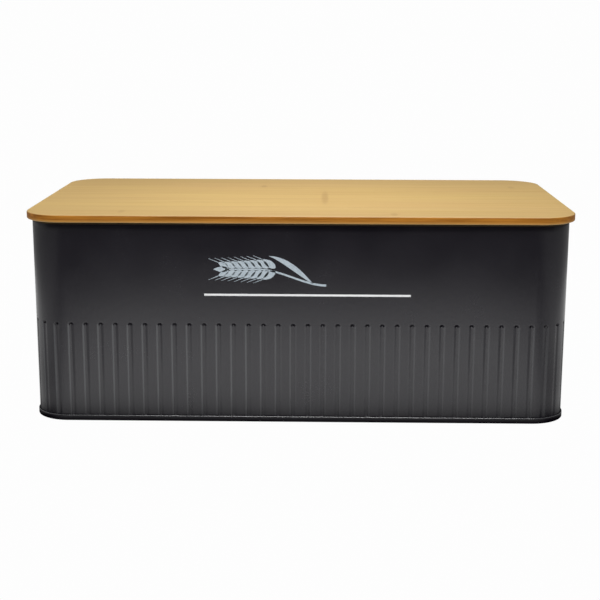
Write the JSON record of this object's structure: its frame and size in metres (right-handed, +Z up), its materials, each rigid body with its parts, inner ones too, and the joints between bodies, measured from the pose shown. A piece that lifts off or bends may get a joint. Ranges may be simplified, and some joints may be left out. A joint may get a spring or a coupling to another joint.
{
  "type": "bread bin",
  "caption": "Rectangular steel bread bin with rounded corners, vertical flutes round its lower half, a seamed base and a lift-off bamboo lid board located by battens.",
  "frame": {"origin": "middle of the footprint, on the surface the bin stands on", "axes": "+X along the bin's length, -Y towards its front, +Z up and the way the lid lifts off"},
  "size_m": [0.33, 0.18, 0.1265],
  "materials": {
    "painted_steel": "fine matt charcoal powder coat",
    "bamboo": "satin oiled bamboo laminated from lengthwise strips",
    "zinc_plated_steel": "bright zinc plate"
  },
  "bodies": {
    "bin": {"body_wall": "painted_steel", "base_pan": "painted_steel"},
    "lid": {"lid_board": "bamboo", "lid_batten_left": "bamboo", "lid_batten_right": "bamboo", "batten_screw_left_front": "zinc_plated_steel", "batten_screw_left_rear": "zinc_plated_steel", "batten_screw_right_front": "zinc_plated_steel", "batten_screw_right_rear": "zinc_plated_steel"}
  },
  "joints": [
    {"name": "lid_lift", "type": "slide", "parent": "bin", "child": "lid", "axis": [0, 0, 1], "range_m": [0, 0.15]}
  ]
}
